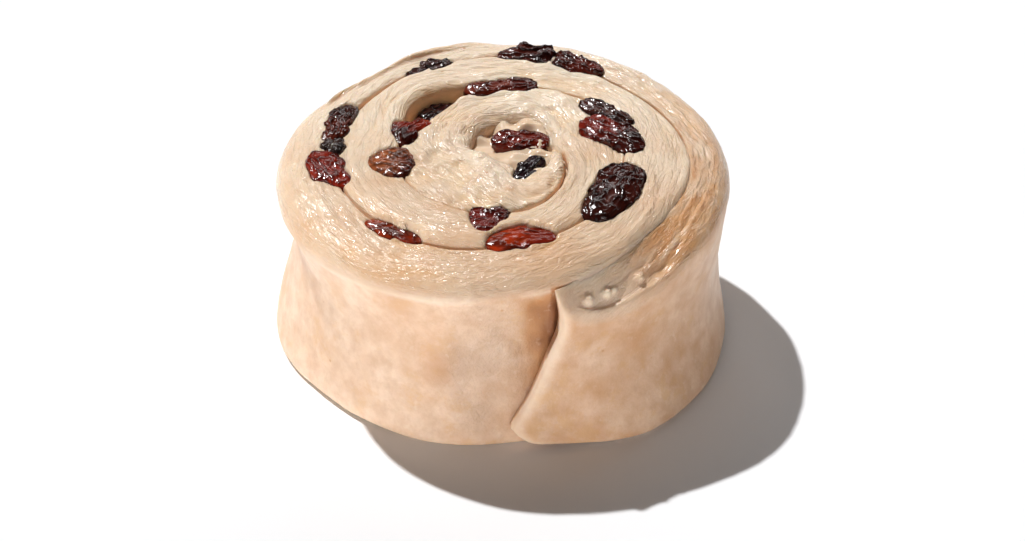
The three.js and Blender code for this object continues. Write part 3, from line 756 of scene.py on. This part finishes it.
# The custard is a thin boiled cream spread over the strip before it was wound. It fills the seam in
# a layer about half a millimetre thick, and the eye, where it shows as wet lumps and hollows.
CUSTARD_START = 144
CUSTARD_END = 801
CUSTARD_HALF = 0.3
CUSTARD_FOOT = 0.3
CUSTARD_CROWN = 0.3  # how far the layer's top bulges
CUSTARD_WAVES = 0.8
CUSTARD_RECESS = [(530, 1.3), (555, 4.4), (580, 4.6), (606, 1.3)]
ribbon_windings = np.linspace(CUSTARD_START, CUSTARD_END, 700)[:, None]
half = np.maximum(through(SLIT, ribbon_windings), CUSTARD_HALF)
near = face_point(ribbon_windings, -half)
far = face_point(ribbon_windings, half)
ribbon_top = crown(near) - through(CUSTARD_RECESS, ribbon_windings)
ribbon_top = ribbon_top + CUSTARD_WAVES * (smooth_noise(ribbon_windings / 6, 0, seed=20) - 0.5)
ribbon_height = ribbon_top - CUSTARD_FOOT
rise = np.linspace(0, 1, 8)[None, :]
swell = np.linspace(-1, 1, 8)[None, 1:-1]
over_top = ribbon_top + CUSTARD_CROWN * (1 - swell**2)
ribbon = np.concatenate(
    [
        settle(near + 0 * rise, CUSTARD_FOOT + rise * ribbon_height),
        settle(face_point(ribbon_windings, half * swell), over_top),
        settle(far + 0 * rise, ribbon_top - rise * ribbon_height),
    ],
    axis=1,
)
custard_layer = tube_mesh("custard_layer", ribbon, {})

# The custard in the eye: rings from its middle out to the innermost turn, below and then above
EYE_START = 774
EYE_RECESS = 1.3
EYE_HOLLOW = 1
EYE_LUMP_HEIGHT = 2
EYE_FOOT = 0.2
eye_windings = np.linspace(EYE_START, WINDING_END, 181)[None, :-1]
eye_edge = face_point(eye_windings, 0.6)
out = np.linspace(0.02, 1, 60)[:, None]
eye_plan = EYE + (eye_edge - EYE) * out
eye_x, eye_y = eye_plan.real, eye_plan.imag
hollow = ease(eye_x, EYE.real + 1, EYE.real - 5) * ease(eye_y, -1.5, 2.5)
eye_top = CROWN_HEIGHT - EYE_RECESS - EYE_HOLLOW * hollow
eye_top = eye_top + EYE_LUMP_HEIGHT * (smooth_noise(eye_x / 2.2, eye_y / 1.7, seed=30) - 0.5)
eye_fill = [settle(eye_plan, 0 * eye_top + EYE_FOOT), settle(eye_plan[::-1], eye_top[::-1])]
custard_eye = tube_mesh("custard_eye", np.concatenate(eye_fill, axis=0), {})

# Cooked custard: milk, egg and starch, pale yellow, smooth and wet, with light going well into it
CUSTARD = "#ecd4bb"
CUSTARD_DEEP = "#dcbb98"
CLOTS_PER_METRE = 330  # 3 mm each
custard_material, tree, output = new_material("boiled_custard")
place = add(tree, "TexCoord", {}).outputs["Object"]
clots = add(tree, "TexNoise", {"Vector": place, "Scale": CLOTS_PER_METRE, "Detail": 3.0})
tone = add(
    tree, "Mix", {"data_type": "RGBA", 0: clots.outputs[0], 6: linear(CUSTARD), 7: linear(CUSTARD_DEEP)}
)
clot_bump = add(tree, "Bump", {"Height": clots.outputs[0], "Strength": 0.4, "Distance": 0.3 * MM})
surface = add(
    tree, "BsdfPrincipled",
    {
        "Base Color": tone.outputs[2], "Roughness": 0.24, "IOR": 1.4, "Normal": clot_bump.outputs[0],
        "Subsurface Weight": 0.4, "Subsurface Radius": (1.0, 0.75, 0.5), "Subsurface Scale": 1.6 * MM,
    },
)
tree.links.new(surface.outputs[0], output.inputs["Surface"])
for piece in (custard_layer, custard_eye):
    piece.data.materials.append(custard_material)
    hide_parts("custard")
    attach(piece, "root")


# Raisins are whole dried grapes, pressed into the custard and cut flush with the roll or standing
# a little proud. Their skins are drawn into rounded folds along their length, and shine.

# For each raisin: the dome of its CAD solid above the girth, its own dome, its depth below the
# girth, its roll in degrees, the depth of its folds, their spacing, and the colours of its left
# end, its right end and its ridges. The five on the underside are alike, and bulge up into the roll.
RAISIN_LOOKS = {
    "raisin_01": (2, 1.2, 3.4, 8, 0.8, 1, "#54190f", "#3c120c", "#7c463c"),
    "raisin_02": (2.2, 1.2, 3.4, -8, 0.8, 1, "#47160d", "#5c1c10", "#7e463a"),
    "raisin_03": (2, 1.1, 3.4, 8, 0.6, 0.9, "#40231f", "#40211d", "#7c6862"),
    "raisin_04": (1.6, 1.1, 4, 0, 0.5, 0.6, "#5e2012", "#3c150e", "#86584a"),
    "raisin_05": (1.3, 1, 3.5, 0, 0.4, 0.8, "#2a1a16", "#341c16", "#a09c8a"),
    "raisin_06": (1.6, 0.9, 4, 0, 0.5, 1.1, "#7c1e0e", "#84200e", "#a04028"),
    "raisin_07": (0.6, 0.5, 4, 0, 0.3, 1, "#92300f", "#82260d", "#a84820"),
    "raisin_08": (1.2, 0.9, 4.5, 0, 0.4, 1.3, "#a2300e", "#741a0a", "#ac4a22"),
    "raisin_09": (0.8, 0.6, 4, 0, 0.6, 0.8, "#701a10", "#52130c", "#924032"),
    "raisin_10": (2.6, 1.8, 5, 0, 0.8, 1, "#34110b", "#3e130c", "#683a32"),
    "raisin_11": (1.6, 1, 4, 0, 0.6, 0.8, "#42180e", "#3c160e", "#72503e"),
    "raisin_12": (2.2, 1.3, 4, 0, 0.7, 0.9, "#741e10", "#40130d", "#84463a"),
    "raisin_13": (2, 1.1, 3.6, 0, 0.6, 0.8, "#6a2412", "#5c1a0f", "#8c4c38"),
    "raisin_14": (2.2, 2, 2.6, 0, 0.5, 0.9, "#2c1212", "#321412", "#4e302e"),
    "raisin_15": (1.6, 1, 4, 0, 0.7, 1, "#4a140b", "#8a240f", "#8e4432"),
    "raisin_16": (1.4, 1, 4, 0, 0.6, 0.8, "#a45a34", "#5e2214", "#dcc0a4"),
    "raisin_17": (2.6, 1.1, 3, 0, 0.7, 1, "#6c1c0e", "#701c0c", "#94463a"),
    "raisin_18": (1.6, 1.5, 3.4, 0, 0.5, 0.9, "#2a171a", "#2c1a1e", "#4a3a40"),
}
BASE_LOOK = (3.2, 3.2, 1.4, 0, 0.6, 1, "#45180f", "#36120d", "#6e3c2c")
RINGS = 84
SIDES = 120
SUNK = 0.4  # how far a raisin on top lies below its CAD solid


def raisin_surface(name, look, seed):
    """Points and colours of a raisin. Rings run from the top to the bottom, each the outline in
    plan made smaller by a blunt sine, and the height is a cosine, as high as the dome above the
    girth and as low as the depth below it. Long folds, |sin| of a wandering distance across the
    raisin, broken up by rounded folds of noise, stand along the normal. Colour goes from end to end
    and up the ridges, and is painted darker down in the creases, as painted shade."""
    yaw = RAISIN_LIE[name][0]
    cad_dome, dome, deep, roll, fold_depth, spacing, left, right, ridge = look
    polar = np.linspace(0.012, 0.988, RINGS)[:, None] * math.pi
    around = np.linspace(0, 2 * math.pi, SIDES, endpoint=False)[None, :]
    spread = np.sin(polar) ** 0.7
    level = np.cos(polar)
    ball_x, ball_y = 2 * np.cos(around) * spread, 2 * np.sin(around) * spread
    lumps = smooth_noise(ball_x, ball_y, 1.5 * level, seed) - 0.5
    radius = outline_radius(name, around)
    flat = radius * spread * (1 + 0.16 * lumps) * np.exp(1j * around)
    own = flat * np.exp(-1j * math.radians(yaw))
    px, py = own.real, own.imag
    blunt = np.sign(level) * np.abs(level) ** 0.8
    pz = np.where(level > 0, dome, deep) * blunt * (1 + 0.5 * lumps)
    pz = pz + math.tan(math.radians(roll)) * py * bell(pz, deep)
    points = np.stack([px, py, pz], axis=-1)

    wander = smooth_noise(px / 3, py / 2.2, pz / 2.2, seed + 7)
    straying = smooth_noise(px / 1.8, py / 1.4, pz / 1.4, seed + 8)
    phase = (py + 0.5 * pz) / (1.7 * spacing) + 2.4 * wander + 0.7 * straying
    long_folds = np.abs(np.sin(math.pi * phase)) ** 0.8
    break_x, break_y = px / (2.4 * spacing) + wander, (py + 2 * wander) / (1.4 * spacing)
    breaks = folds(break_x, break_y, pz / (1.4 * spacing), seed + 11)
    wrinkle_x, wrinkle_y = px / (1.1 * spacing) + wander, (py + wander) / (0.6 * spacing)
    wrinkles = folds(wrinkle_x, wrinkle_y, pz / (0.6 * spacing), seed + 12)
    creases = 0.28 * long_folds + 0.56 * breaks + 0.24 * wrinkles
    fade = np.minimum(1, 2.5 * spread) * np.where(level < -0.3, 0.5, 1)
    points = points + grid_normals(points) * (fold_depth * (creases - 0.8) * fade)[..., None]

    plan = (points[..., 0] + 1j * points[..., 1]) * np.exp(1j * math.radians(yaw)) + raisin_middle(name)
    girth_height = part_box(name)[1][2] / MM - cad_dome - SUNK * name.startswith("raisin")
    above_floor = np.maximum(points[..., 2] + girth_height, 0)
    points = np.stack([plan.real, plan.imag, above_floor], axis=-1)

    end = ease(px / radius.max() + 0.5 * (wander - 0.5), -0.5, 0.5)[..., None]
    skin = np.array(linear(left)) * (1 - end) + np.array(linear(right)) * end
    proud = ease(creases, 0.8, 1.3)[..., None]
    skin = skin * (1 - 0.55 * proud) + np.array(linear(ridge)) * 0.55 * proud
    # Painted shade: the skin is darker down in its creases, to three tenths at their bottoms
    skin = skin * (0.3 + 0.7 * ease(creases, 0.35, 0.75))[..., None]
    skin[..., 3] = 1
    return points, skin


# Raisin skin: thin, leathery and sugary. It is dark red to black, glints in small points where it
# is wet with custard, and lets a little red light through.
SPECKLES_PER_METRE = 1500  # 0.7 mm each
raisin_material, tree, output = new_material("wet_raisin_skin")
place = add(tree, "TexCoord", {}).outputs["Object"]
skin_colour = add(tree, "Attribute", {"attribute_name": "skin"})
speckle = add(tree, "TexNoise", {"Vector": place, "Scale": SPECKLES_PER_METRE, "Detail": 3.0})
gloss = add(tree, "MapRange", {"Value": speckle.outputs[0], 1: 0.3, 2: 0.7, 3: 0.08, 4: 0.24})
skin_bump = add(tree, "Bump", {"Height": speckle.outputs[0], "Strength": 0.5, "Distance": 0.1 * MM})
surface = add(
    tree, "BsdfPrincipled",
    {
        "Base Color": skin_colour.outputs["Color"], "Roughness": gloss.outputs[0], "IOR": 1.42,
        "Subsurface Weight": 0.1, "Subsurface Radius": (1.0, 0.25, 0.1), "Subsurface Scale": 1 * MM,
        "Normal": skin_bump.outputs[0],
    },
)
tree.links.new(surface.outputs[0], output.inputs["Surface"])
for number, name in enumerate(RAISIN_LIE):
    points, skin = raisin_surface(name, RAISIN_LOOKS.get(name, BASE_LOOK), number + 1.5)
    piece = tube_mesh(name + "_skin", points, {"skin": skin})
    piece.data.materials.append(raisin_material)
    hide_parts(name)
    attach(piece, "root")


# The floor is a sheet of white paper, so wide that its edge never shows, lying flat under the roll.
# White paper scatters light evenly and has hardly any shine.
FLOOR_HALF = 3
PAPER = "#f8f9fb"
floor_mesh = bpy.data.meshes.new("floor")
floor_corners = np.array([(-1, -1, 0), (1, -1, 0), (1, 1, 0), (-1, 1, 0)]) * FLOOR_HALF
floor_mesh.from_pydata(floor_corners.tolist(), [], [(0, 1, 2, 3)])
floor = bpy.data.objects.new("floor", floor_mesh)
bpy.context.scene.collection.objects.link(floor)
paper_material, tree, output = new_material("white_paper")
surface = add(tree, "BsdfPrincipled", {"Base Color": linear(PAPER), "Roughness": 0.8})
tree.links.new(surface.outputs[0], output.inputs["Surface"])
floor_mesh.materials.append(paper_material)


# Five lamps and a dim even light from all round. A hard key light from behind on the left throws
# the shadow to the right and front. Two low strips, a wide one at the front and a dim one at the
# right, light the wall but hardly the floor. A soft box at the front lifts the loose end's top, and
# one at the back makes wet places glint.
SUN_WIDTH = math.radians(1.5)
ROOM_LIGHT = (0.95, 0.98, 1, 1)
ROOM_STRENGTH = 0.02


def lamp(name, kind, strength, towards, distance, settings):
    """A lamp in a direction from the roll, at a distance in metres, turned to face it."""
    data = bpy.data.lights.new(name, kind)
    data.energy = strength
    for key, value in settings.items():
        setattr(data, key, value)
    made = bpy.data.objects.new(name, data)
    bpy.context.scene.collection.objects.link(made)
    direction = np.array(towards) / np.linalg.norm(towards)
    made.location = direction * distance
    made.rotation_euler = (math.acos(direction[2]), 0, math.atan2(direction[0], -direction[1]))


lamp("key", "SUN", 3.35, (-0.43, 0.55, 1), 1, {"angle": SUN_WIDTH})
for name, strength, towards, distance, width, tall in (
    ("front_strip", 14, (-0.5, -0.87, 0.045), 1.1, 3.2, 0.09),
    ("front_box", 0.9, (-0.1, -0.8, 0.55), 1.2, 0.8, 0.4),
    ("back_box", 3, (0.2, 0.8, 0.58), 1.2, 1.2, 0.12),
    ("right_strip", 1, (0.8, -0.6, 0.045), 1.1, 1, 0.09),
):
    size = {"shape": "RECTANGLE", "size": width, "size_y": tall}
    lamp(name, "AREA", strength, towards, distance, size)
room = bpy.data.worlds.new("room")
bpy.context.scene.world = room
room.use_nodes = True
background = room.node_tree.nodes["Background"]
background.inputs["Color"].default_value = ROOM_LIGHT
background.inputs["Strength"].default_value = ROOM_STRENGTH
bpy.context.scene.view_settings.view_transform = "Standard"
